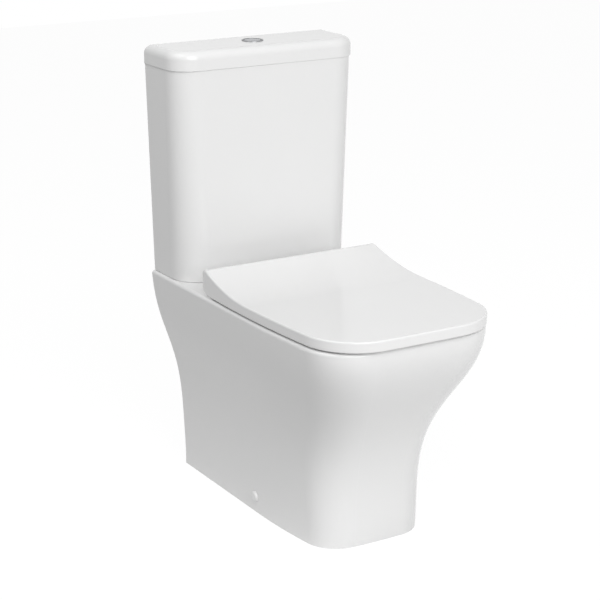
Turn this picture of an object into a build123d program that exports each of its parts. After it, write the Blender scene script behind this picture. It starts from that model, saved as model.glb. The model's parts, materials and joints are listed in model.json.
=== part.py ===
from build123d import *
import os

os.makedirs("parts", exist_ok=True)

# Close coupled toilet, in millimetres. The floor is z = 0, the front is -Y, the wall stands at wall_y.
wall_y = 318.0
pan_height = 403.0
cistern_height = 392.0
cistern_lid_height = 35.0
running_gap = 0.05              # radial, between a pin and what turns on it
press_gap = 0.02                # radial, between a pin and what holds it
slide_gap = 0.4                 # radial, between loose sliding parts
seat_gap = 0.3                  # between parts that only touch in use

# Pan: its outline flares from the foot to the rim
pan_depth = 624.0               # wall to the front of the rim
pan_foot_depth = 501.0          # wall to the front of the foot
pan_rim_width = 369.5
pan_foot_width = 240.6
pan_rim_corner = 89.0
pan_foot_corner = 62.0
pan_bend = 0.58                 # share of the depth, from the wall, where the sides start to draw in
side_draw = 18.0                # how far each side draws in towards the front
front_bulge = 4.0               # how far the middle of the front stands forward
pan_wall = 12.0
deck_thickness = 16.0
deck_edge_radius = 6.0
pan_stations = (0.0, 0.2, 0.4, 0.6, 0.8, 0.93, 1.0)        # shares of the height
side_flare = (0.0, 0.034, 0.117, 0.374, 0.788, 0.952, 1.0)     # foot width to rim width
front_flare = (0.0, 0.023, 0.115, 0.409, 0.83, 1.0, 1.0)    # foot front to rim front

# Bowl, trap and outlet
bowl_width = 282.0
bowl_length = 335.0
bowl_depth = 300.0
bowl_corner = 105.0
bowl_to_hinge = 21.0            # rear of the bowl opening to the hinge axis
bowl_wall = 11.0
bowl_edge_radius = 6.0
sump_width = 70.0
sump_length = 60.0
sump_corner = 26.0
sump_to_bowl_rear = 70.0
bowl_stations = (0.0, 0.08, 0.3, 0.5, 0.7, 0.87, 1.0)      # shares of the depth
bowl_narrowing = (0.0, 0.01, 0.12, 0.36, 0.66, 0.88, 1.0)  # opening to sump
trap_bore = 30.0                # radius
trap_wall = 11.0
trap_bend = 45.0
trap_low_z = 100.0              # centre of the passage under the water seal
trap_crest_z = 222.0            # centre of the passage over the weir
trap_entry = 123.0              # rear of the bowl opening to the passage's start
trap_entry_rise = 65.0
trap_dip = (88.0, 30.0)         # rear of the bowl opening to the ends of the low stretch
trap_crest = (163.0, 113.0)     # outlet's end to the ends of the high stretch
trap_fall = 63.0                # outlet's end to the foot of the last fall
outlet_z = 180.0
outlet_radius = 51.0
outlet_bore = 41.0
outlet_length = 55.0
outlet_to_wall = 52.0

# Seat hinge, on the deck behind the bowl
hinge_setback = 211.0           # wall to the hinge axis
hinge_rise = 26.0               # deck to the hinge axis
hinge_spacing = 155.0
hinge_hole = 7.0                # radius
hinge_boss_radius = 11.0
hinge_pin_radius = 4.0
hinge_post_width = 15.0
hinge_post_depth = 20.0
hinge_foot_radius = 14.0
hinge_foot_height = 5.0
hinge_lug_length = 20.0
lug_root_rise = 21.0            # lid's flat top to the top of its hinge lugs, inside its rear
hinge_side_gap = 2.0            # along the pin, between post and lugs
damper_radius = 7.0
hinge_bolt_radius = 4.0
hinge_bolt_length = 40.0        # below the deck's top

# Seat lid and ring
lid_reach = 425.0               # hinge axis to the front of the lid
lid_width = 367.6
lid_corner = 100.5
lid_rear_corner = 12.0
lid_outline_over = 1.0          # how far the outline from above passes the side profile's rear
lid_bend = 129.0                # in front of the hinge axis, where the lid is widest
lid_rear_draw = 4.5             # how far each side draws in towards the rear
lid_base_rise = 2.7             # deck to the lid's lower edge
lid_top_rise = 22.4             # deck to the lid's flat top
lid_scoop_start = 151.0         # in front of the hinge axis, where the top starts to sweep up
lid_back = 21.4                 # hinge axis to the lid's upright rear edge
lid_tip_rise = 56.1
lid_tip_radius = 16.0
lid_heel_start = 17.0           # in front of the hinge axis, where the lower edge leaves the deck
lid_heel_rise = 16.0
lid_heel_radius = 8.0
lid_edge_radius = 3.0
lid_skirt = 5.0
lid_skin = 4.5
lid_hinge_opening = 230.0
lid_opening_rise = 18.0         # hinge axis to the top of the opening in the lid's rear
ring_gap = 2.0                  # ring to the inside of the lid's skirt
ring_thickness = 10.0
ring_rise = 3.5                 # deck to the ring's underside
ring_edge_radius = 3.5
ring_rear = 27.0                # hinge axis to the ring's rear edge
ring_rear_corner = 30.0
ring_rear_draw = 3.5
ring_hole_width = 224.0
ring_hole_length = 282.0
ring_hole_corner = 105.0
ring_hole_to_hinge = 58.0
ring_buffer_radius = 7.0
lid_buffer_radius = 6.0
front_buffer_spacing = 270.0
front_buffer_reach = 324.0      # in front of the hinge axis
rear_buffer_spacing = 314.0
rear_buffer_reach = 79.0

# Cistern and its lid
cistern_top_width = 379.8
cistern_top_depth = 130.4
cistern_side_draft = 10.2       # how far each side draws in from the top to the base
cistern_front_draft = 0.7
cistern_base_corner = 57.0
cistern_top_corner = 47.0
cistern_rear_corner = 6.0
cistern_wall = 10.0
cistern_floor = 14.0
cistern_base_radius = 3.0       # around the cistern's underside
cistern_edge_radius = 1.0
lid_overhang = 1.8
cistern_lid_plate = 10.0
cistern_lid_edge = 15.0
cistern_lid_rim = 8.0
lip_depth = 12.0                # reach of the locating lip into the cistern
lip_thickness = 5.0
lip_clearance = 2.5
wall_hole_radius = 4.0
wall_hole_spacing = 180.0
wall_hole_rise = 340.0          # above the cistern's base

# Push button, in the middle of the cistern lid
button_setback = 65.0           # wall to the button and flush valve axis
bezel_radius = 20.0
bezel_rise = 1.5
bezel_edge_radius = 1.0
bezel_guide = 4.0               # thickness of the plate that guides the push rods
bezel_barrel = 17.5
bezel_length = 30.0
bezel_bore = 16.2
button_radius = 15.9
button_height = 8.0
button_split = -4.5             # x of the line between the two buttons
button_split_gap = 0.8
button_sink = 0.4               # below the bezel's rim
button_edge_radius = 1.0
rod_offset = 9.0                # x of the push rods
rod_radius = 3.0
button_nut_radius = 24.0
button_nut_height = 6.0

# Flush valve
flush_hole = 31.0               # radius in the cistern's floor
flush_tail = 29.0
flush_bore = 22.0
flush_tail_drop = 30.0          # below the cistern's base
flush_flange = 40.0
flush_flange_height = 6.0
seal_washer = 3.0
tower_radius = 34.0
tower_wall = 3.0
tower_height = 146.0            # above the cistern's inside floor
tower_plate = 5.0
tower_window_height = 26.0
tower_window_width = 34.0
overflow_radius = 13.0
overflow_bore = 11.0
overflow_height = 224.0         # above the cistern's inside floor
piston_disc = 27.0
piston_disc_height = 5.0
piston_seal_height = 2.5
lever_input = 16.0              # pivot to the push rod
lever_output = 22.0             # pivot to the piston's hook
lever_width = 6.0
lever_height = 6.0
lever_rise = 249.0              # pivot above the cistern's inside floor
lever_pin_radius = 1.5
lever_cheek = 3.0
hook_width = 6.0
hook_play = 2.0                 # lever to the piston's hook at rest
lever_end = 2.0                 # lever past the hook's middle
seal_overlap = 3.0              # flush seal inside the edge of the outlet
flush_nut_radius = 38.0
flush_nut_height = 12.0
recess_radius = 44.0
recess_depth = 26.0
channel_width = 64.0
channel_height = 26.0
channel_wall = 10.0

# Bolts that couple the cistern to the pan
coupling_spacing = 250.0
coupling_bolt_radius = 4.0
coupling_hole = 6.0             # radius
coupling_bolt_drop = 44.0       # below the cistern's base
coupling_head_radius = 8.0
coupling_head_height = 6.0
cone_radius = 13.0
cone_height = 8.0
steel_washer_radius = 10.0
steel_washer_height = 2.0
wing_nut_radius = 7.0
wing_nut_height = 12.0
wing_span = 34.0
wing_thickness = 4.0
wing_share = 0.7                # height of the wings in the nut's height

# Fill valve, right of the flush valve
fill_x = 85.0
fill_tail = 10.48               # half inch pipe thread
fill_tail_length = 33.0
fill_shank = 11.0               # the part that the back nut holds
fill_shank_drop = 13.0          # below the cistern's base
fill_hole = 11.5
fill_flange = 20.0
fill_flange_height = 6.0
fill_washer = 2.0
fill_bore = 7.0
riser_radius = 12.0
riser_height = 274.0            # above the cistern's inside floor
fill_head_radius = 18.0
fill_head_height = 26.0
fill_nut_radius = 17.0
fill_nut_height = 11.0
deck_inlet_hole = 24.0          # clears the back nut in the pan's deck
float_radius = 30.0
float_height = 62.0
float_top = 244.0               # above the cistern's inside floor
float_wall = 3.0
float_stop_radius = 15.0
float_stop_height = 4.0
float_arm = 38.0                # fill valve axis to the float rod
float_rod_radius = 2.5
adjuster_radius = 4.5
adjuster_height = 4.0
float_lever_pivot = 8.0         # fill valve axis to the lever's pivot
float_lever_width = 12.0
float_lever_height = 5.0
float_lever_rise = 8.0          # fill valve head to the lever's pivot
float_pin_radius = 1.5

# Floor fixing at each side of the foot
fixing_y = 42.0
fixing_z = 30.0
cap_radius = 10.0
cap_sink = 0.5                  # the cap's flat seat, inside the edge of the foot
cap_rise = 5.5
cap_edge_radius = 4.0
screw_radius = 2.5
screw_head_radius = 5.0
screw_head_height = 3.0
screw_clearance_hole = 3.5
screw_end = 4.0                 # past the bracket
bracket_width = 40.0
bracket_height = 52.0
bracket_foot = 46.0
bracket_thickness = 6.0
bracket_hole = 3.5              # radius
bracket_hole_x = 80.0

# Places that follow from the sizes above
deck_z = pan_height
hinge_y = wall_y - hinge_setback
hinge_z = deck_z + hinge_rise
hinge_x = hinge_spacing / 2
valve_y = wall_y - button_setback
floor_z = deck_z + cistern_floor
seam_z = deck_z + cistern_height
top_z = seam_z + cistern_lid_height
wall_hole_z = deck_z + wall_hole_rise
deck_under_z = deck_z - deck_thickness
outlet_end_y = wall_y - outlet_to_wall
bowl_rear_y = hinge_y - bowl_to_hinge
ring_base_z = deck_z + ring_rise
ring_top_z = ring_base_z + ring_thickness
lid_base_z = deck_z + lid_base_rise
lid_top_z = deck_z + lid_top_rise
lid_front_y = hinge_y - lid_reach
lid_half = lid_width / 2
lug_inner = hinge_x - hinge_post_width / 2 - hinge_side_gap
lug_outer = hinge_x + hinge_post_width / 2 + hinge_side_gap
lever_z = floor_z + lever_rise
lever_y = valve_y + lever_input
hook_y = lever_y + lever_output
coupling_x = coupling_spacing / 2
cistern_base_width = cistern_top_width - 2 * cistern_side_draft
cistern_base_depth = cistern_top_depth - cistern_front_draft
half_foot = pan_foot_width / 2
cap_face_x = half_foot - cap_sink
screw_seat_x = cap_face_x - screw_head_height
rod_bottom_z = lever_z + lever_height / 2 + seat_gap
overflow_top_z = floor_z + overflow_height
float_top_z = floor_z + float_top
float_base_z = float_top_z - float_height
riser_top_z = floor_z + riser_height
shank_end_z = deck_z - fill_shank_drop
tail_end_z = shank_end_z - fill_tail_length
up = (Align.CENTER, Align.CENTER, Align.MIN)
SIDES = (-1, 1)


def between(start, end, share):
    return start + (end - start) * share


def finish(piece, name):
    piece.part.label = name
    export_step(piece.part, f"parts/{name}.step")


def plan_outline(height, half_width, front, back, front_corner, back_corner=0.0):
    """A plain outline seen from above, with rounded corners."""
    with BuildSketch(Plane.XY.offset(height)) as outline:
        with BuildLine():
            Polyline((-half_width, front), (-half_width, back), (half_width, back), (half_width, front),
                     close=True)
        make_face()
        fillet(outline.vertices().sort_by(Axis.Y)[:2], front_corner)
        fillet(outline.vertices().sort_by(Axis.Y)[-2:], back_corner)
    return outline.sketch


def bowed_outline(height, half_width, front, back, bend, front_corner, rear_draw=0.0, back_corner=0.0):
    """An outline seen from above whose sides draw in from the bend and whose front bows forward."""
    rear_half = half_width - rear_draw
    front_half = half_width - side_draw
    with BuildSketch(Plane.XY.offset(height)) as outline:
        with BuildLine():
            Line((-rear_half, back), (rear_half, back))
            for side in SIDES:
                widest = (side * half_width, bend)
                if rear_draw:
                    TangentArc(widest, (side * rear_half, back), tangent=(0, 1))
                else:
                    Line(widest, (side * rear_half, back))
                TangentArc(widest, (side * front_half, front + front_bulge), tangent=(0, -1))
            ThreePointArc((-front_half, front + front_bulge), (0, front),
                          (front_half, front + front_bulge))
        make_face()
        fillet(outline.vertices().sort_by(Axis.Y)[:2], front_corner)
        if back_corner:
            fillet(outline.vertices().sort_by(Axis.Y)[-2:], back_corner)
    return outline.sketch


def rounded_outline(height, width, front, back, corner):
    with BuildSketch(Plane.XY.offset(height)) as outline:
        with Locations((0, (front + back) / 2)):
            RectangleRounded(width, back - front, corner)
    return outline.sketch


def post(radius, bottom, top, x=0.0, y=0.0, mode=Mode.ADD):
    """An upright round bar."""
    with Locations((x, y, bottom)):
        Cylinder(radius, top - bottom, align=up, mode=mode)


def crossbar(radius, start, end, y, z, mode=Mode.ADD):
    """A round bar along X."""
    with Locations(Location(((start + end) / 2, y, z), (0, 90, 0))):
        Cylinder(radius, abs(end - start), mode=mode)


def block(x, y, z, mode=Mode.ADD):
    """A box between two corners, given as a pair for each axis."""
    with Locations(((x[0] + x[1]) / 2, (y[0] + y[1]) / 2, (z[0] + z[1]) / 2)):
        Box(abs(x[1] - x[0]), abs(y[1] - y[0]), abs(z[1] - z[0]), mode=mode)


def wing_nut(x, y, top, bore, along_x):
    """A wing nut hanging below the level top."""
    bottom = top - wing_nut_height
    half_span = wing_span / 2
    half_wing = wing_thickness / 2
    reach_x, reach_y = (half_span, half_wing) if along_x else (half_wing, half_span)
    post(wing_nut_radius, bottom, top, x, y)
    block((x - reach_x, x + reach_x), (y - reach_y, y + reach_y),
          (bottom, bottom + wing_nut_height * wing_share))
    post(bore + press_gap, bottom, top, x, y, Mode.SUBTRACT)


# Pan

def pan_section(index, inset, height, back):
    half_width = between(pan_foot_width, pan_rim_width, side_flare[index]) / 2 - inset
    depth = between(pan_foot_depth, pan_depth, front_flare[index])
    corner = between(pan_foot_corner, pan_rim_corner, pan_stations[index])
    return bowed_outline(height, half_width, wall_y - depth + inset, back, wall_y - depth * pan_bend,
                         corner - inset)


def bowl_section(index, extra, height):
    share = bowl_narrowing[index]
    rear = bowl_rear_y - sump_to_bowl_rear * share + extra
    front = rear - between(bowl_length, sump_length, share) - 2 * extra
    width = between(bowl_width, sump_width, share) + 2 * extra
    return rounded_outline(height, width, front, rear, between(bowl_corner, sump_corner, share) + extra)


pan_count = range(len(pan_stations))
bowl_count = range(len(bowl_stations))
cut = 1.0                       # how far a cutting shape runs past the face that it opens
cavity_heights = [share * deck_under_z for share in pan_stations]
cavity_heights[0] = -cut
bowl_heights = [deck_z - share * bowl_depth for share in bowl_stations]
shell_heights = [deck_under_z + cut] + bowl_heights[1:-1] + [bowl_heights[-1] - bowl_wall]
cut_heights = [deck_z + cut] + bowl_heights[1:]
trap_points = (
    (bowl_rear_y - trap_entry, trap_low_z + trap_entry_rise),
    (bowl_rear_y - trap_dip[0], trap_low_z),
    (bowl_rear_y - trap_dip[1], trap_low_z),
    (outlet_end_y - trap_crest[0], trap_crest_z),
    (outlet_end_y - trap_crest[1], trap_crest_z),
    (outlet_end_y - trap_fall, outlet_z),
    (outlet_end_y, outlet_z),
)
channel_top_z = deck_z - recess_depth
channel_base_z = channel_top_z - channel_height

half_channel = channel_width / 2

with BuildPart() as bowl_space:
    loft([bowl_section(i, 0, cut_heights[i]) for i in bowl_count])

with BuildPart() as bowl_outside:
    loft([bowl_section(i, bowl_wall, shell_heights[i]) for i in bowl_count])
    split(bisect_by=Plane.XY.offset(deck_under_z), keep=Keep.BOTTOM)

with BuildLine(Plane.YZ) as trap_path:
    FilletPolyline(*trap_points, radius=trap_bend)
trap_start = Plane(trap_path.line @ 0, x_dir=(1, 0, 0), z_dir=trap_path.line % 0)

with BuildPart() as trap_space:
    with BuildSketch(trap_start):
        Circle(trap_bore)
    sweep(path=trap_path.line)
    with Locations(Location((0, outlet_end_y, outlet_z), (90, 0, 0))):
        Cylinder(outlet_bore, outlet_length - trap_wall, align=up)

with BuildPart() as channel_space:
    block((-half_channel, half_channel), (bowl_rear_y - bowl_wall, valve_y),
          (channel_base_z, channel_top_z))
    post(half_channel, channel_base_z, channel_top_z + cut, 0, valve_y)
    post(recess_radius, channel_top_z, deck_z + cut, 0, valve_y)

with BuildPart() as pan:
    loft([pan_section(i, 0, share * pan_height, wall_y) for i, share in enumerate(pan_stations)])
    rim_edges = pan.faces().sort_by(Axis.Z)[-1].edges().sort_by(Axis.Y)[:-1]
    fillet(rim_edges, deck_edge_radius)
    loft([pan_section(i, pan_wall, cavity_heights[i], wall_y + cut) for i in pan_count],
         mode=Mode.SUBTRACT)
    add(bowl_space.part, mode=Mode.SUBTRACT)
    post(recess_radius, deck_under_z - cut, deck_z + cut, 0, valve_y, Mode.SUBTRACT)
    post(deck_inlet_hole, deck_under_z - cut, deck_z + cut, fill_x, valve_y, Mode.SUBTRACT)
    for side in SIDES:
        post(coupling_hole, deck_under_z - cut, deck_z + cut, side * coupling_x, valve_y, Mode.SUBTRACT)
        post(hinge_hole, deck_under_z - cut, deck_z + cut, side * hinge_x, hinge_y, Mode.SUBTRACT)
        crossbar(screw_clearance_hole, side * (half_foot - 2 * pan_wall), side * cap_face_x,
                 fixing_y, fixing_z, Mode.SUBTRACT)
        crossbar(screw_head_radius + slide_gap, side * screw_seat_x, side * cap_face_x, fixing_y,
                 fixing_z, Mode.SUBTRACT)
        crossbar(cap_radius + seat_gap, side * cap_face_x, side * (half_foot + pan_wall), fixing_y,
                 fixing_z, Mode.SUBTRACT)
    bowl_edge = max(pan.faces().sort_by(Axis.Z)[-1].inner_wires(), key=lambda wire: wire.length)
    fillet(bowl_edge.edges(), bowl_edge_radius)
finish(pan, "pan")

with BuildPart() as bowl:
    add(bowl_outside.part)
    add(bowl_space.part, mode=Mode.SUBTRACT)
    add(trap_space.part, mode=Mode.SUBTRACT)
    add(channel_space.part, mode=Mode.SUBTRACT)
finish(bowl, "bowl")

with BuildPart() as trap:
    with BuildSketch(trap_start):
        Circle(trap_bore + trap_wall)
    sweep(path=trap_path.line)
    with Locations(Location((0, outlet_end_y, outlet_z), (90, 0, 0))):
        Cylinder(outlet_radius, outlet_length, align=up)
    add(bowl_outside.part, mode=Mode.SUBTRACT)
    add(trap_space.part, mode=Mode.SUBTRACT)
finish(trap, "trap")

with BuildPart() as flush_channel:
    channel_outer = half_channel + channel_wall
    channel_under_z = channel_base_z - channel_wall
    block((-channel_outer, channel_outer), (bowl_rear_y, valve_y), (channel_under_z, deck_under_z))
    post(recess_radius + channel_wall, channel_under_z, deck_under_z, 0, valve_y)
    add(bowl_outside.part, mode=Mode.SUBTRACT)
    add(channel_space.part, mode=Mode.SUBTRACT)
finish(flush_channel, "flush_channel")


# Cistern and its lid

def cistern_section(height, share, inset, back):
    half_width = between(cistern_base_width, cistern_top_width, share) / 2 - inset
    depth = between(cistern_base_depth, cistern_top_depth, share)
    corner = between(cistern_base_corner, cistern_top_corner, share) - inset
    rear_corner = max(cistern_rear_corner - inset, 1.0)
    return plan_outline(height, half_width, wall_y - depth + inset, back, corner, rear_corner)


with BuildPart() as cistern:
    outer_back = wall_y + cut
    loft([cistern_section(deck_z, 0, 0, outer_back), cistern_section(seam_z, 1, 0, outer_back)], ruled=True)
    block((-cistern_top_width, cistern_top_width), (wall_y, outer_back + cut), (deck_z - cut, seam_z + cut),
          Mode.SUBTRACT)
    fillet(cistern.faces().sort_by(Axis.Z)[0].edges(), cistern_base_radius)
    fillet(cistern.faces().sort_by(Axis.Z)[-1].edges(), cistern_edge_radius)
    inner_back = wall_y - cistern_wall
    loft([cistern_section(floor_z, 0, cistern_wall, inner_back),
          cistern_section(seam_z + cut, 1, cistern_wall, inner_back)], ruled=True, mode=Mode.SUBTRACT)
    post(flush_hole, deck_z - cut, floor_z + cut, 0, valve_y, Mode.SUBTRACT)
    post(fill_hole, deck_z - cut, floor_z + cut, fill_x, valve_y, Mode.SUBTRACT)
    for side in SIDES:
        post(coupling_hole, deck_z - cut, floor_z + cut, side * coupling_x, valve_y, Mode.SUBTRACT)
        with Locations(Location((side * wall_hole_spacing / 2, wall_y, wall_hole_z), (90, 0, 0))):
            Cylinder(wall_hole_radius, 4 * cistern_wall, mode=Mode.SUBTRACT)
finish(cistern, "cistern")


def lid_section(height, inset):
    half_width = cistern_top_width / 2 + lid_overhang - inset
    front = wall_y - cistern_top_depth - lid_overhang + inset
    rear_corner = max(cistern_rear_corner - inset, 1.0)
    return plan_outline(height, half_width, front, wall_y - inset, cistern_top_corner - inset,
                        rear_corner)


lid_under_z = top_z - cistern_lid_plate
lip_inset = lid_overhang + cistern_wall + lip_clearance
with BuildPart() as cistern_lid:
    extrude(lid_section(seam_z, 0), cistern_lid_height)
    fillet(cistern_lid.faces().sort_by(Axis.Z)[-1].edges(), cistern_lid_edge)
    fillet(cistern_lid.faces().sort_by(Axis.Z)[0].edges(), cistern_edge_radius)
    extrude(lid_section(seam_z, cistern_lid_rim), lid_under_z - seam_z, mode=Mode.SUBTRACT)
    extrude(lid_section(seam_z - lip_depth, lip_inset), lid_under_z - seam_z + lip_depth)
    extrude(lid_section(seam_z - lip_depth, lip_inset + lip_thickness), lid_under_z - seam_z + lip_depth,
            mode=Mode.SUBTRACT)
    post(bezel_barrel + slide_gap, lid_under_z - cut, top_z + cut, 0, valve_y, Mode.SUBTRACT)
finish(cistern_lid, "cistern_lid")


# Seat lid: its side profile cut to its outline from above, then hollowed from below

def lid_profile(skin):
    """The lid's outline seen from the side, drawn in by the skin for its inside."""
    base = lid_base_z - (cut if skin else 0)
    front = lid_front_y + skin
    heel_start = (hinge_y - lid_heel_start, base)
    heel = (hinge_y + lid_back - skin, deck_z + lid_heel_rise)
    tip = (hinge_y + lid_back - skin, deck_z + lid_tip_rise - skin)
    scoop_start = (hinge_y - lid_scoop_start, lid_top_z - skin)
    with BuildSketch(Plane.YZ) as profile:
        with BuildLine():
            Polyline(scoop_start, (front, lid_top_z - skin), (front, base), heel_start)
            TangentArc(heel_start, heel, tangent=(1, 0))
            Line(heel, tip)
            TangentArc(scoop_start, tip, tangent=(1, 0))
        make_face()
        fillet(profile.vertices().sort_by(Axis.Y)[-1], lid_tip_radius)
        fillet(profile.vertices().sort_by(Axis.X)[-2:].sort_by(Axis.Y)[0], lid_heel_radius)
    return profile.sketch


def lid_outline(inset):
    rear = hinge_y + lid_back + lid_outline_over - inset
    return bowed_outline(lid_base_z - 2 * cut, lid_half - inset, lid_front_y + inset, rear,
                         hinge_y - lid_bend,
                         lid_corner - inset, lid_rear_draw, lid_rear_corner - inset)


def hinge_lug(start, end, anchor_y, anchor_z):
    """A rounded lug around the hinge axis, reaching to a rectangle of its own panel."""
    with BuildSketch(Plane.YZ.offset(start)) as lug:
        with Locations((hinge_y, hinge_z)):
            Circle(hinge_boss_radius)
        with Locations(((anchor_y[0] + anchor_y[1]) / 2, (anchor_z[0] + anchor_z[1]) / 2)):
            Rectangle(anchor_y[1] - anchor_y[0], anchor_z[1] - anchor_z[0])
        make_hull(mode=Mode.REPLACE)
    extrude(lug.sketch, end - start)


lid_tall = lid_tip_rise + 4 * cut
with BuildPart() as lid_hollow:
    extrude(lid_profile(lid_skin), lid_half, both=True)
    extrude(lid_outline(lid_skirt), lid_tall, mode=Mode.INTERSECT)

with BuildPart() as seat_lid:
    extrude(lid_profile(0), lid_half, both=True)
    extrude(lid_outline(0), lid_tall, mode=Mode.INTERSECT)
    upper_edges = [edge for edge in seat_lid.edges() if edge.bounding_box().min.Z > lid_top_z - cut]
    side_edges = [edge for edge in upper_edges if abs(edge.center().X) > cut]
    front_edges = [edge for edge in upper_edges if edge.center().Y < lid_front_y + cut]
    fillet(side_edges + front_edges, lid_edge_radius)
    add(lid_hollow.part, mode=Mode.SUBTRACT)
    half_opening = lid_hinge_opening / 2
    block((-half_opening, half_opening), (hinge_y - lid_heel_start - cut, hinge_y),
          (lid_base_z - cut, hinge_z),
          Mode.SUBTRACT)
    block((-half_opening, half_opening), (hinge_y, hinge_y + 2 * lid_back),
          (lid_base_z - cut, hinge_z + lid_opening_rise), Mode.SUBTRACT)
    for start in (-lug_inner, lug_inner - hinge_lug_length):
        root_z = lid_top_z + lug_root_rise
        hinge_lug(start, start + hinge_lug_length,
                  (hinge_y - hinge_boss_radius, hinge_y + hinge_boss_radius / 2),
                  (root_z - lid_skin, root_z))
    crossbar(hinge_pin_radius + running_gap, -lug_inner, lug_inner, hinge_y, hinge_z, Mode.SUBTRACT)
    crossbar(damper_radius + press_gap, -lug_inner, -lug_inner + hinge_lug_length, hinge_y, hinge_z,
             Mode.SUBTRACT)
finish(seat_lid, "seat_lid")

with BuildPart() as seat_ring:
    ring_inset = lid_skirt + ring_gap
    extrude(bowed_outline(ring_base_z, lid_half - ring_inset, lid_front_y + ring_inset, hinge_y - ring_rear,
                          hinge_y - lid_bend, lid_corner - ring_inset, ring_rear_draw, ring_rear_corner),
            ring_thickness)
    hole_rear = hinge_y - ring_hole_to_hinge
    extrude(rounded_outline(ring_base_z, ring_hole_width, hole_rear - ring_hole_length, hole_rear,
                            ring_hole_corner), ring_thickness, mode=Mode.SUBTRACT)
    fillet(seat_ring.faces().sort_by(Axis.Z)[-1].edges(), ring_edge_radius)
    ring_rear_y = hinge_y - ring_rear
    for start in (-lug_outer - hinge_lug_length, lug_outer):
        hinge_lug(start, start + hinge_lug_length, (ring_rear_y - ring_rear / 2, ring_rear_y),
                  (ring_base_z, ring_top_z - ring_edge_radius))
        crossbar(hinge_pin_radius + running_gap, start, start + hinge_lug_length, hinge_y, hinge_z,
                 Mode.SUBTRACT)
    crossbar(damper_radius + press_gap, lug_outer, lug_outer + hinge_lug_length, hinge_y, hinge_z,
             Mode.SUBTRACT)
finish(seat_ring, "seat_ring")

with BuildPart() as ring_buffers:
    front_pair = (front_buffer_spacing, front_buffer_reach)
    rear_pair = (rear_buffer_spacing, rear_buffer_reach)
    for spacing, reach in (front_pair, rear_pair):
        for side in SIDES:
            post(ring_buffer_radius, deck_z, ring_base_z, side * spacing / 2, hinge_y - reach)
finish(ring_buffers, "ring_buffers")

with BuildPart() as lid_buffers:
    for side in SIDES:
        post(lid_buffer_radius, ring_top_z, lid_top_z - lid_skin, side * front_buffer_spacing / 2,
             hinge_y - front_buffer_reach)
finish(lid_buffers, "lid_buffers")


# Hinges: a post at each side on the deck, with a pin that lid and ring turn on

with BuildPart() as hinge_posts:
    for side in SIDES:
        x = side * hinge_x
        post(hinge_foot_radius, deck_z, deck_z + hinge_foot_height, x, hinge_y)
        half_width = hinge_post_width / 2
        half_depth = hinge_post_depth / 2
        block((x - half_width, x + half_width), (hinge_y - half_depth, hinge_y + half_depth),
              (deck_z, hinge_z))
        crossbar(half_depth, x - half_width, x + half_width, hinge_y, hinge_z)
        crossbar(hinge_pin_radius + press_gap, x - half_width, x + half_width, hinge_y, hinge_z,
                 Mode.SUBTRACT)
        post(hinge_bolt_radius + press_gap, deck_z, hinge_z - half_depth, x, hinge_y, Mode.SUBTRACT)
finish(hinge_posts, "hinge_posts")

with BuildPart() as hinge_pins:
    for side in SIDES:
        crossbar(hinge_pin_radius, side * (lug_inner - hinge_lug_length),
                 side * (lug_outer + hinge_lug_length),
                 hinge_y, hinge_z)
finish(hinge_pins, "hinge_pins")


def damper(start, end):
    crossbar(damper_radius, start, end, hinge_y, hinge_z)
    crossbar(hinge_pin_radius + running_gap, start, end, hinge_y, hinge_z, Mode.SUBTRACT)


with BuildPart() as lid_damper:
    damper(-lug_inner, -lug_inner + hinge_lug_length)
finish(lid_damper, "lid_damper")

with BuildPart() as ring_damper:
    damper(lug_outer, lug_outer + hinge_lug_length)
finish(ring_damper, "ring_damper")

with BuildPart() as hinge_bolts:
    for side in SIDES:
        post(hinge_bolt_radius, deck_z - hinge_bolt_length, hinge_z - hinge_post_depth / 2,
             side * hinge_x, hinge_y)
finish(hinge_bolts, "hinge_bolts")

with BuildPart() as hinge_washers:
    for side in SIDES:
        post(steel_washer_radius, deck_under_z - steel_washer_height, deck_under_z, side * hinge_x,
             hinge_y)
        post(hinge_bolt_radius + press_gap, deck_under_z - steel_washer_height, deck_under_z,
             side * hinge_x, hinge_y, Mode.SUBTRACT)
finish(hinge_washers, "hinge_washers")

with BuildPart() as hinge_nuts:
    for side in SIDES:
        wing_nut(side * hinge_x, hinge_y, deck_under_z - steel_washer_height, hinge_bolt_radius, True)
finish(hinge_nuts, "hinge_nuts")


# Push button

bezel_top_z = top_z + bezel_rise
button_top_z = bezel_top_z - button_sink
button_base_z = button_top_z - button_height
bezel_base_z = top_z - bezel_length

with BuildPart() as button_bezel:
    post(bezel_radius, top_z, bezel_top_z, 0, valve_y)
    fillet(button_bezel.faces().sort_by(Axis.Z)[-1].edges(), bezel_edge_radius)
    post(bezel_barrel, bezel_base_z, top_z, 0, valve_y)
    post(bezel_bore, bezel_base_z + bezel_guide, bezel_top_z, 0, valve_y, Mode.SUBTRACT)
    for side in SIDES:
        post(rod_radius + slide_gap, bezel_base_z, bezel_base_z + bezel_guide, side * rod_offset, valve_y,
             Mode.SUBTRACT)
finish(button_bezel, "button_bezel")

with BuildPart() as button_nut:
    post(button_nut_radius, lid_under_z - button_nut_height, lid_under_z, 0, valve_y)
    post(bezel_barrel + press_gap, lid_under_z - button_nut_height, lid_under_z, 0, valve_y,
         Mode.SUBTRACT)
finish(button_nut, "button_nut")


def button_plate(keep_from, keep_to):
    """The part of the round button plate between two lines across it."""
    post(button_radius, button_base_z, button_top_z, 0, valve_y)
    block((keep_from, keep_to), (valve_y - bezel_radius, valve_y + bezel_radius),
          (button_base_z - cut, button_top_z + cut), Mode.INTERSECT)


def push_rod(x):
    tip_z = rod_bottom_z + rod_radius
    post(rod_radius, tip_z, button_base_z, x, valve_y)
    with Locations((x, valve_y, tip_z)):
        Sphere(rod_radius)


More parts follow.
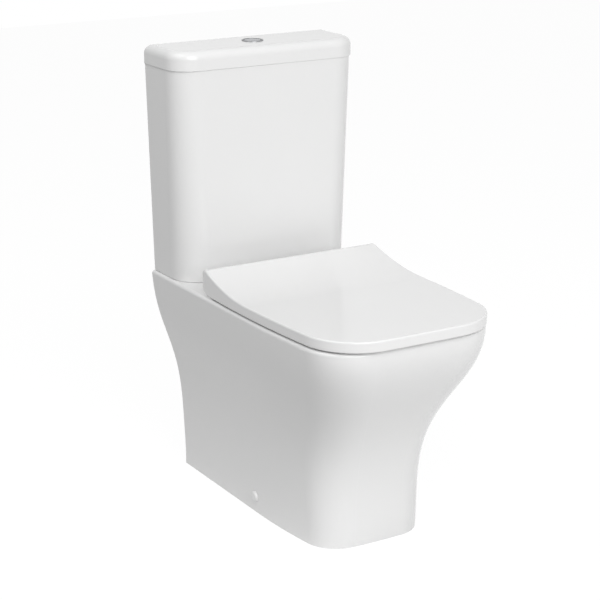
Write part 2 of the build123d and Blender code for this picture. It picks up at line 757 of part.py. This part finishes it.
with BuildPart() as full_button:
    button_plate(button_split + button_split_gap / 2, button_radius)
    fillet(full_button.faces().sort_by(Axis.Z)[-1].edges(), button_edge_radius)
finish(full_button, "full_button")

with BuildPart() as half_button:
    button_plate(-button_radius, button_split - button_split_gap / 2)
    fillet(half_button.faces().sort_by(Axis.Z)[-1].edges(), button_edge_radius)
finish(half_button, "half_button")

with BuildPart() as full_push_rod:
    push_rod(rod_offset)
finish(full_push_rod, "full_push_rod")

with BuildPart() as half_push_rod:
    push_rod(-rod_offset)
finish(half_push_rod, "half_push_rod")


# Flush valve: a tower over the outlet, a piston that seals it, and a rocker lever under each push rod

flange_base_z = floor_z + seal_washer
flange_top_z = flange_base_z + flush_flange_height
tower_top_z = floor_z + tower_height
cheek_x = rod_offset + lever_width / 2 + cut
hook_base_z = lever_z + lever_height / 2 + hook_play
disc_base_z = flange_top_z + piston_seal_height

with BuildPart() as flush_valve_body:
    post(flush_tail, deck_z - flush_tail_drop, flange_base_z, 0, valve_y)
    post(flush_flange, flange_base_z, flange_top_z, 0, valve_y)
    post(tower_radius, flange_top_z, tower_top_z, 0, valve_y)
    post(tower_radius - tower_wall, flange_top_z, tower_top_z - tower_plate, 0, valve_y, Mode.SUBTRACT)
    post(flush_bore, deck_z - flush_tail_drop, flange_top_z, 0, valve_y, Mode.SUBTRACT)
    post(overflow_radius + slide_gap, tower_top_z - tower_plate, tower_top_z, 0, valve_y, Mode.SUBTRACT)
    half_window = tower_window_width / 2
    window_z = (flange_top_z, flange_top_z + tower_window_height)
    block((-flush_flange, flush_flange), (valve_y - half_window, valve_y + half_window), window_z,
          Mode.SUBTRACT)
    block((-half_window, half_window), (valve_y - flush_flange, valve_y + flush_flange), window_z,
          Mode.SUBTRACT)
    for side in SIDES:
        block((side * cheek_x, side * (cheek_x + lever_cheek)),
              (lever_y - lever_height, lever_y + lever_height),
              (tower_top_z, lever_z + lever_height))
    crossbar(lever_pin_radius + press_gap, -cheek_x - lever_cheek, cheek_x + lever_cheek, lever_y,
             lever_z,
             Mode.SUBTRACT)
finish(flush_valve_body, "flush_valve_body")

with BuildPart() as flush_piston:
    post(piston_disc, disc_base_z, disc_base_z + piston_disc_height, 0, valve_y)
    post(overflow_radius, disc_base_z, overflow_top_z, 0, valve_y)
    post(overflow_bore, disc_base_z, overflow_top_z, 0, valve_y, Mode.SUBTRACT)
    half_hook = hook_width / 2
    block((-half_hook, half_hook), (valve_y + overflow_bore + cut, hook_y + half_hook),
          (overflow_top_z - 2 * hook_width, overflow_top_z - hook_width))
    block((-half_hook, half_hook), (hook_y - half_hook, hook_y + half_hook),
          (overflow_top_z - 2 * hook_width, hook_base_z + hook_width))
    block((-half_hook, cheek_x), (hook_y - half_hook, hook_y + half_hook),
          (hook_base_z, hook_base_z + hook_width))
finish(flush_piston, "flush_piston")


def washer(outer, bore, bottom, top, x):
    post(outer, bottom, top, x, valve_y)
    post(bore, bottom, top, x, valve_y, Mode.SUBTRACT)


with BuildPart() as flush_seal:
    washer(piston_disc, flush_bore - seal_overlap, flange_top_z, disc_base_z, 0)
finish(flush_seal, "flush_seal")

with BuildPart() as flush_valve_washer:
    washer(flush_flange, flush_tail + press_gap, floor_z, flange_base_z, 0)
finish(flush_valve_washer, "flush_valve_washer")

with BuildPart() as flush_valve_nut:
    washer(flush_nut_radius, flush_tail + press_gap, deck_z - flush_nut_height, deck_z, 0)
finish(flush_valve_nut, "flush_valve_nut")

with BuildPart() as doughnut_seal:
    washer(recess_radius - seat_gap, flush_nut_radius + seat_gap, channel_top_z, deck_z, 0)
finish(doughnut_seal, "doughnut_seal")

with BuildPart() as lever_pin:
    crossbar(lever_pin_radius, -cheek_x - lever_cheek, cheek_x + lever_cheek, lever_y, lever_z)
finish(lever_pin, "lever_pin")


def rocker(x):
    half_width = lever_width / 2
    half_height = lever_height / 2
    block((x - half_width, x + half_width), (valve_y - half_width, hook_y + lever_end),
          (lever_z - half_height, lever_z + half_height))
    crossbar(lever_pin_radius + running_gap, x - lever_width, x + lever_width, lever_y, lever_z,
             Mode.SUBTRACT)


with BuildPart() as full_lever:
    rocker(rod_offset)
finish(full_lever, "full_lever")

with BuildPart() as half_lever:
    rocker(-rod_offset)
finish(half_lever, "half_lever")


# Bolts that couple cistern and pan

bolt_seat_z = floor_z + cone_height

with BuildPart() as coupling_bolts:
    for side in SIDES:
        x = side * coupling_x
        post(coupling_bolt_radius, deck_z - coupling_bolt_drop, bolt_seat_z, x, valve_y)
        post(coupling_head_radius, bolt_seat_z, bolt_seat_z + coupling_head_height, x, valve_y)
finish(coupling_bolts, "coupling_bolts")

with BuildPart() as coupling_seals:
    for side in SIDES:
        with Locations((side * coupling_x, valve_y, floor_z)):
            Cone(cone_radius, coupling_head_radius, cone_height, align=up)
        post(coupling_bolt_radius + press_gap, floor_z, bolt_seat_z, side * coupling_x, valve_y,
             Mode.SUBTRACT)
finish(coupling_seals, "coupling_seals")

with BuildPart() as coupling_washers:
    for side in SIDES:
        washer(steel_washer_radius, coupling_bolt_radius + press_gap, deck_under_z - steel_washer_height,
               deck_under_z, side * coupling_x)
finish(coupling_washers, "coupling_washers")

with BuildPart() as coupling_nuts:
    for side in SIDES:
        wing_nut(side * coupling_x, valve_y, deck_under_z - steel_washer_height, coupling_bolt_radius,
                 False)
finish(coupling_nuts, "coupling_nuts")


# Fill valve: a riser with a float cup round it, which tips a lever on its head

fill_flange_z = floor_z + fill_washer
head_top_z = riser_top_z + fill_head_height
pivot_x = fill_x - float_lever_pivot
pivot_z = head_top_z + float_lever_rise
rod_x = fill_x - float_arm
half_lever_width = float_lever_width / 2
half_lever_height = float_lever_height / 2
adjuster_top_z = pivot_z - half_lever_height - seat_gap

with BuildPart() as fill_valve_body:
    post(fill_shank, shank_end_z, fill_flange_z, fill_x, valve_y)
    post(fill_tail, tail_end_z, shank_end_z, fill_x, valve_y)
    post(float_stop_radius, float_base_z - float_stop_height, float_base_z, fill_x, valve_y)
    post(fill_flange, fill_flange_z, fill_flange_z + fill_flange_height, fill_x, valve_y)
    post(riser_radius, fill_flange_z, riser_top_z, fill_x, valve_y)
    post(fill_head_radius, riser_top_z, head_top_z, fill_x, valve_y)
    post(fill_bore, tail_end_z, riser_top_z, fill_x, valve_y, Mode.SUBTRACT)
    for side in SIDES:
        inner = valve_y + side * (half_lever_width + cut)
        block((pivot_x - half_lever_height, pivot_x + half_lever_height),
              (inner, inner + side * lever_cheek),
              (head_top_z, pivot_z + half_lever_height))
    with Locations(Location((pivot_x, valve_y, pivot_z), (90, 0, 0))):
        Cylinder(float_pin_radius + press_gap, 2 * fill_head_radius, mode=Mode.SUBTRACT)
finish(fill_valve_body, "fill_valve_body")

with BuildPart() as fill_valve_washer:
    washer(fill_flange, fill_shank + press_gap, floor_z, fill_flange_z, fill_x)
finish(fill_valve_washer, "fill_valve_washer")

with BuildPart() as fill_valve_nut:
    washer(fill_nut_radius, fill_shank + press_gap, deck_z - fill_nut_height, deck_z, fill_x)
finish(fill_valve_nut, "fill_valve_nut")

with BuildPart() as float_cup:
    bore = riser_radius + slide_gap
    post(float_radius, float_base_z, float_top_z, fill_x, valve_y)
    post(float_radius - float_wall, float_base_z, float_top_z - float_wall, fill_x, valve_y,
         Mode.SUBTRACT)
    post(bore + float_wall, float_base_z, float_top_z, fill_x, valve_y)
    arm_half = adjuster_radius
    block((rod_x - arm_half, fill_x - bore - cut), (valve_y - arm_half, valve_y + arm_half),
          (float_top_z - 2 * float_wall, float_top_z))
    post(bore, float_base_z, float_top_z, fill_x, valve_y, Mode.SUBTRACT)
    post(float_rod_radius + press_gap, float_top_z - 2 * float_wall, float_top_z, rod_x, valve_y,
         Mode.SUBTRACT)
finish(float_cup, "float_cup")

with BuildPart() as float_rod:
    post(float_rod_radius, float_top_z - 2 * float_wall, pivot_z + float_lever_rise, rod_x, valve_y)
    post(adjuster_radius, adjuster_top_z - adjuster_height, adjuster_top_z, rod_x, valve_y)
finish(float_rod, "float_rod")

with BuildPart() as float_lever:
    block((rod_x - adjuster_radius, pivot_x + adjuster_radius),
          (valve_y - half_lever_width, valve_y + half_lever_width),
          (pivot_z - half_lever_height, pivot_z + half_lever_height))
    fork = float_rod_radius + cut
    block((rod_x - 2 * adjuster_radius, rod_x + 2 * fork - cut), (valve_y - fork, valve_y + fork),
          (pivot_z - float_lever_height, pivot_z + float_lever_height), Mode.SUBTRACT)
    with Locations(Location((pivot_x, valve_y, pivot_z), (90, 0, 0))):
        Cylinder(float_pin_radius + running_gap, 2 * float_lever_width, mode=Mode.SUBTRACT)
finish(float_lever, "float_lever")

with BuildPart() as float_lever_pin:
    with Locations(Location((pivot_x, valve_y, pivot_z), (90, 0, 0))):
        Cylinder(float_pin_radius, float_lever_width + 2 * (cut + lever_cheek))
finish(float_lever_pin, "float_lever_pin")


# Floor fixing: a bracket inside each side of the foot, a screw through the side into it, and a cap

bracket_x = half_foot - pan_wall - seat_gap

with BuildPart() as floor_brackets:
    half_bracket = bracket_width / 2
    bracket_y = (fixing_y - half_bracket, fixing_y + half_bracket)
    for side in SIDES:
        block((side * (bracket_x - bracket_thickness), side * bracket_x), bracket_y, (0, bracket_height))
        block((side * (bracket_x - bracket_foot), side * bracket_x), bracket_y, (0, bracket_thickness))
        post(bracket_hole, 0, bracket_thickness, side * bracket_hole_x, fixing_y, Mode.SUBTRACT)
        crossbar(screw_radius + press_gap, side * (bracket_x - bracket_thickness), side * bracket_x,
                 fixing_y, fixing_z, Mode.SUBTRACT)
finish(floor_brackets, "floor_brackets")

with BuildPart() as side_screws:
    for side in SIDES:
        crossbar(screw_radius, side * (bracket_x - bracket_thickness - screw_end), side * screw_seat_x,
                 fixing_y, fixing_z)
        crossbar(screw_head_radius, side * screw_seat_x, side * cap_face_x, fixing_y, fixing_z)
finish(side_screws, "side_screws")

with BuildPart() as side_caps:
    for side in SIDES:
        crossbar(cap_radius, side * cap_face_x, side * (cap_face_x + cap_rise), fixing_y, fixing_z)
    outer_edges = [edge for edge in side_caps.edges().filter_by(GeomType.CIRCLE)
                   if abs(edge.center().X) > cap_face_x + cap_rise / 2]
    fillet(outer_edges, cap_edge_radius)
finish(side_caps, "side_caps")
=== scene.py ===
"""Looks of the close coupled toilet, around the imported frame. Metres, +Z up, front towards -Y."""

import json
import math

import bpy
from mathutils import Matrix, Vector

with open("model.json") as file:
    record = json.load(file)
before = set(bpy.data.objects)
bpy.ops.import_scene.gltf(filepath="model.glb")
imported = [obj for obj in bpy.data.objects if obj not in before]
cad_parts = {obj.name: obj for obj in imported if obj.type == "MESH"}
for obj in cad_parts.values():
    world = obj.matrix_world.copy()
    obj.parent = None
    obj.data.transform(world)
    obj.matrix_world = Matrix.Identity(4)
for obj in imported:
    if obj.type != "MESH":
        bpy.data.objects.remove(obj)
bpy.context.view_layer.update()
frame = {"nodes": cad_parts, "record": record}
nodes = frame["nodes"]

# Camera: the photograph's viewing angle
VIEW_AZIMUTH = math.radians(-30.92)
VIEW_ELEVATION = math.radians(16.95)
VIEW_DISTANCE = 3.2486
VIEW_TARGET = Vector((-0.0110, 0.0649, 0.3830))
VIEW_LENS = 107.24
SENSOR = 36.0

# Light: a wide key in front and a fill high on the left
WHITE = (1.0, 1.0, 1.0, 1.0)
WORLD_LEVEL = 0.355
KEY_PLACE = Vector((-0.50, -2.81, 2.05))
KEY_POWER = 68.0
KEY_SIZE = 2.8
FILL_PLACE = Vector((-1.90, -0.15, 3.10))
FILL_POWER = 28.0
FILL_SIZE = 2.4
LIGHT_TARGET = Vector((0.0, 0.0, 0.4))

# Floor
FLOOR_SIZE = 12.0
FLOOR_LEFT = 0.20                # what the floor throws back at the object from its left
FLOOR_RIGHT = 0.73               # and from in front and the right
FLOOR_TURN = (-0.80, -0.10)      # between these places along X one passes into the other
FLOOR_GLOW = 0.935               # how white the floor is to the camera before light and shadow
FLOOR_SHADE = 0.11               # how strongly the camera sees light and shadow on it

# Noises: scale, detail and, where it isn't the usual half, roughness
NOISE_REACH = (0.3, 0.7)         # nearly all of a noise lies between these values
GLAZE_CLOUDS = (7.0, 3.0)
GLAZE_GRAIN = (900.0, 1.0)
GLAZE_RIPPLE = (22.0, 2.0)
PLASTIC_CLOUDS = (14.0, 2.0)
PLASTIC_GRAIN = (1400.0, 2.0)
POLISHED_GRAIN = (260.0, 3.0)
BRUSHED_GRAIN = (1200.0, 3.0)
RUBBER_CLOUDS = (90.0, 3.0)
RUBBER_GRAIN = (1800.0, 4.0, 0.7)

# Glaze, plastic, metal and rubber: relief is a strength and a depth in metres
GLAZE_SHADES = ((0.86, 0.862, 0.862), (0.874, 0.872, 0.868))
GLAZE_ROUGHNESS = (0.13, 0.19)
GLAZE_IOR = 1.5
GLAZE_COAT = 0.08
GLAZE_COAT_ROUGHNESS = 0.04
GLAZE_RELIEF = (0.05, 0.002)
PLASTIC_SWING = 0.15             # share by which the roughness wanders either way
PLASTIC_IOR = 1.49
PLASTIC_COAT_ROUGHNESS = 0.06
PLASTIC_DEPTH = 0.0004
METAL_SWING = 0.3
METAL_EDGE = (0.75, 0.75, 0.76, 1.0)     # what plated metal shows where it is seen edge on
METAL_RELIEF = 0.02
METAL_DEPTH = 0.0003
RUBBER_ROUGHNESS = (0.62, 0.85)
RUBBER_RELIEF = (0.25, 0.0004)

# Two shades, roughness, strength of the moulding texture, clear coat
PLASTICS = {
    "seat_plastic": ((0.868, 0.868, 0.866), (0.876, 0.876, 0.874), 0.17, 0.02, 0.08),
    "cap_plastic": ((0.862, 0.862, 0.860), (0.872, 0.872, 0.870), 0.25, 0.04, 0.0),
    "nut_plastic": ((0.80, 0.80, 0.78), (0.84, 0.84, 0.82), 0.45, 0.1, 0.0),
    "damper_plastic": ((0.10, 0.10, 0.11), (0.13, 0.13, 0.14), 0.42, 0.1, 0.0),
    "valve_plastic": ((0.72, 0.73, 0.73), (0.77, 0.78, 0.78), 0.38, 0.08, 0.0),
    "lever_plastic": ((0.07, 0.20, 0.42), (0.09, 0.24, 0.47), 0.36, 0.08, 0.0),
    "float_plastic": ((0.68, 0.68, 0.64), (0.74, 0.74, 0.70), 0.40, 0.08, 0.0),
}
# Two shades, roughness, strength of the brushed grain. The bezel is a node with a look of its own.
METALS = {
    "chrome": ((0.52, 0.53, 0.54), (0.48, 0.49, 0.505), 0.18, 0.0),
    "button_bezel": ((0.30, 0.305, 0.31), (0.27, 0.275, 0.28), 0.22, 0.0),
    "steel": ((0.62, 0.62, 0.63), (0.52, 0.52, 0.54), 0.32, 0.1),
}
# Two shades
RUBBERS = {
    "rubber": ((0.022, 0.022, 0.023), (0.04, 0.04, 0.041)),
    "buffer_rubber": ((0.70, 0.70, 0.68), (0.76, 0.76, 0.74)),
}


# Materials

def material(name):
    """A new node material with its Principled shader, ready for its own settings."""
    made = bpy.data.materials.new(name)
    made.use_nodes = True
    return made, made.node_tree, made.node_tree.nodes["Principled BSDF"]


def texture_place(tree):
    """Object coordinates, which are metres in the shared frame."""
    return tree.nodes.new("ShaderNodeTexCoord").outputs["Object"]


def noise(tree, place, scale, detail, roughness=0.5):
    """A noise value at each place of the object."""
    made = tree.nodes.new("ShaderNodeTexNoise")
    made.inputs["Scale"].default_value = scale
    made.inputs["Detail"].default_value = detail
    made.inputs["Roughness"].default_value = roughness
    tree.links.new(place, made.inputs["Vector"])
    return made.outputs["Fac"]


def spread(tree, value, low, high, reach=NOISE_REACH):
    """Maps the reach of a noise, or of another value, to a range."""
    made = tree.nodes.new("ShaderNodeMapRange")
    made.inputs["From Min"].default_value = reach[0]
    made.inputs["From Max"].default_value = reach[1]
    made.inputs["To Min"].default_value = low
    made.inputs["To Max"].default_value = high
    tree.links.new(value, made.inputs["Value"])
    return made.outputs["Result"]


def wander_colour(tree, shader, value, first, second):
    """Lets the shader's colour wander between two close shades."""
    made = tree.nodes.new("ShaderNodeMix")
    made.data_type = "RGBA"
    made.inputs["A"].default_value = (*first, 1.0)
    made.inputs["B"].default_value = (*second, 1.0)
    tree.links.new(value, made.inputs["Factor"])
    tree.links.new(made.outputs["Result"], shader.inputs["Base Color"])


def wander_roughness(tree, shader, value, low, high):
    """Lets the shader's roughness wander through a range."""
    tree.links.new(spread(tree, value, low, high), shader.inputs["Roughness"])


def relief(tree, shader, height, strength, depth):
    """Fine relief that the light catches."""
    made = tree.nodes.new("ShaderNodeBump")
    made.inputs["Strength"].default_value = strength
    made.inputs["Distance"].default_value = depth
    tree.links.new(height, made.inputs["Height"])
    tree.links.new(made.outputs["Normal"], shader.inputs["Normal"])


def glazed_china(name):
    """White glaze: a slow ripple from firing, faint warm and cool clouds, and a hard gloss."""
    made, tree, shader = material(name)
    place = texture_place(tree)
    shader.inputs["IOR"].default_value = GLAZE_IOR
    shader.inputs["Coat Weight"].default_value = GLAZE_COAT
    shader.inputs["Coat Roughness"].default_value = GLAZE_COAT_ROUGHNESS
    wander_colour(tree, shader, noise(tree, place, *GLAZE_CLOUDS), *GLAZE_SHADES)
    wander_roughness(tree, shader, noise(tree, place, *GLAZE_GRAIN), *GLAZE_ROUGHNESS)
    relief(tree, shader, noise(tree, place, *GLAZE_RIPPLE), *GLAZE_RELIEF)
    return made


def moulded(name, first, second, roughness, peel, coat):
    """Moulded plastic: a tight sheen with a fine moulding texture."""
    made, tree, shader = material(name)
    place = texture_place(tree)
    grain = noise(tree, place, *PLASTIC_GRAIN)
    shader.inputs["IOR"].default_value = PLASTIC_IOR
    shader.inputs["Coat Weight"].default_value = coat
    shader.inputs["Coat Roughness"].default_value = PLASTIC_COAT_ROUGHNESS
    swing = roughness * PLASTIC_SWING
    wander_colour(tree, shader, noise(tree, place, *PLASTIC_CLOUDS), first, second)
    wander_roughness(tree, shader, grain, roughness - swing, roughness + swing)
    relief(tree, shader, grain, peel, PLASTIC_DEPTH)
    return made


def plated(name, first, second, roughness, brush):
    """Metal: polished, or with a brushed grain where brush is more than nothing."""
    made, tree, shader = material(name)
    grain = noise(tree, texture_place(tree), *(BRUSHED_GRAIN if brush else POLISHED_GRAIN))
    shader.inputs["Metallic"].default_value = 1.0
    shader.inputs["Specular Tint"].default_value = METAL_EDGE
    swing = roughness * METAL_SWING
    wander_colour(tree, shader, grain, first, second)
    wander_roughness(tree, shader, grain, roughness - swing, roughness + swing)
    relief(tree, shader, grain, METAL_RELIEF + brush, METAL_DEPTH)
    return made


def rubber(name, first, second):
    """Dull rubber with a fine grain."""
    made, tree, shader = material(name)
    place = texture_place(tree)
    grain = noise(tree, place, *RUBBER_GRAIN)
    wander_colour(tree, shader, noise(tree, place, *RUBBER_CLOUDS), first, second)
    wander_roughness(tree, shader, grain, *RUBBER_ROUGHNESS)
    relief(tree, shader, grain, *RUBBER_RELIEF)
    return made


looks = {"china": glazed_china("glazed_china")}
for make, table in ((moulded, PLASTICS), (plated, METALS), (rubber, RUBBERS)):
    for name, settings in table.items():
        looks[name] = make(name, *settings)
for part in frame["record"]["subparts"]:
    slots = nodes[part["node"]].data.materials
    slots.clear()
    slots.append(looks.get(part["node"], looks[part["material_slot"]]))


# Stage, light and camera

def seen_plainly(tree):
    """A factor of 1 for the rays that should see the plain white background."""
    path = tree.nodes.new("ShaderNodeLightPath")
    total = path.outputs["Is Camera Ray"]
    for kind in ("Is Glossy Ray", "Is Transmission Ray"):
        either = tree.nodes.new("ShaderNodeMath")
        either.operation = "MAXIMUM"
        tree.links.new(total, either.inputs[0])
        tree.links.new(path.outputs[kind], either.inputs[1])
        total = either.outputs["Value"]
    return total


def choose_plain(tree, lit, plain, output):
    """Shows the plain shader to the rays that see the background, and the lit one to the rest."""
    choose = tree.nodes.new("ShaderNodeMixShader")
    tree.links.new(seen_plainly(tree), choose.inputs["Fac"])
    tree.links.new(lit.outputs[0], choose.inputs[1])
    tree.links.new(plain.outputs[0], choose.inputs[2])
    tree.links.new(choose.outputs["Shader"], tree.nodes[output].inputs["Surface"])


def make_floor():
    """A white floor that keeps the object's shadow, and lights it less from the left."""
    half = FLOOR_SIZE / 2
    corners = [(-half, -half, 0), (half, -half, 0), (half, half, 0), (-half, half, 0)]
    mesh = bpy.data.meshes.new("floor")
    mesh.from_pydata(corners, [], [(0, 1, 2, 3)])
    floor = bpy.data.objects.new("floor", mesh)
    bpy.context.collection.objects.link(floor)
    made, tree, shader = material("floor")
    tree.nodes.remove(shader)
    lit = tree.nodes.new("ShaderNodeBsdfDiffuse")
    across = tree.nodes.new("ShaderNodeSeparateXYZ")
    tree.links.new(texture_place(tree), across.inputs["Vector"])
    level = spread(tree, across.outputs["X"], FLOOR_LEFT, FLOOR_RIGHT, FLOOR_TURN)
    tree.links.new(level, lit.inputs["Color"])
    shaded = tree.nodes.new("ShaderNodeBsdfDiffuse")
    shaded.inputs["Color"].default_value = (FLOOR_SHADE, FLOOR_SHADE, FLOOR_SHADE, 1.0)
    glow = tree.nodes.new("ShaderNodeEmission")
    glow.inputs["Strength"].default_value = FLOOR_GLOW
    both = tree.nodes.new("ShaderNodeAddShader")
    tree.links.new(shaded.outputs["BSDF"], both.inputs[0])
    tree.links.new(glow.outputs["Emission"], both.inputs[1])
    choose_plain(tree, lit, both, "Material Output")
    mesh.materials.append(made)


def make_world():
    """An even soft light all round, behind a plain white background."""
    world = bpy.data.worlds.new("studio")
    bpy.context.scene.world = world
    world.use_nodes = True
    tree = world.node_tree
    lit = tree.nodes["Background"]
    lit.inputs["Strength"].default_value = WORLD_LEVEL
    lit.inputs["Color"].default_value = WHITE
    plain = tree.nodes.new("ShaderNodeBackground")
    plain.inputs["Color"].default_value = WHITE
    choose_plain(tree, lit, plain, "World Output")


def make_light(name, place, power, size):
    """A round area lamp that faces the object."""
    light = bpy.data.lights.new(name, "AREA")
    light.shape = "DISK"
    light.size = size
    light.energy = power
    lamp = bpy.data.objects.new(name, light)
    lamp.location = place
    lamp.rotation_mode = "QUATERNION"
    lamp.rotation_quaternion = (LIGHT_TARGET - place).to_track_quat("-Z", "Y")
    bpy.context.collection.objects.link(lamp)


def make_camera():
    """The photograph's camera."""
    data = bpy.data.cameras.new("camera")
    data.lens = VIEW_LENS
    data.sensor_width = SENSOR
    camera = bpy.data.objects.new("camera", data)
    flat = math.cos(VIEW_ELEVATION)
    back = Vector((
        math.sin(VIEW_AZIMUTH) * flat, -math.cos(VIEW_AZIMUTH) * flat, math.sin(VIEW_ELEVATION)))
    camera.location = VIEW_TARGET + back * VIEW_DISTANCE
    camera.rotation_mode = "QUATERNION"
    camera.rotation_quaternion = (-back).to_track_quat("-Z", "Y")
    bpy.context.collection.objects.link(camera)
    bpy.context.scene.camera = camera


make_floor()
make_world()
make_light("key", KEY_PLACE, KEY_POWER, KEY_SIZE)
make_light("fill", FILL_PLACE, FILL_POWER, FILL_SIZE)
make_camera()
bpy.context.scene.view_settings.view_transform = "Standard"
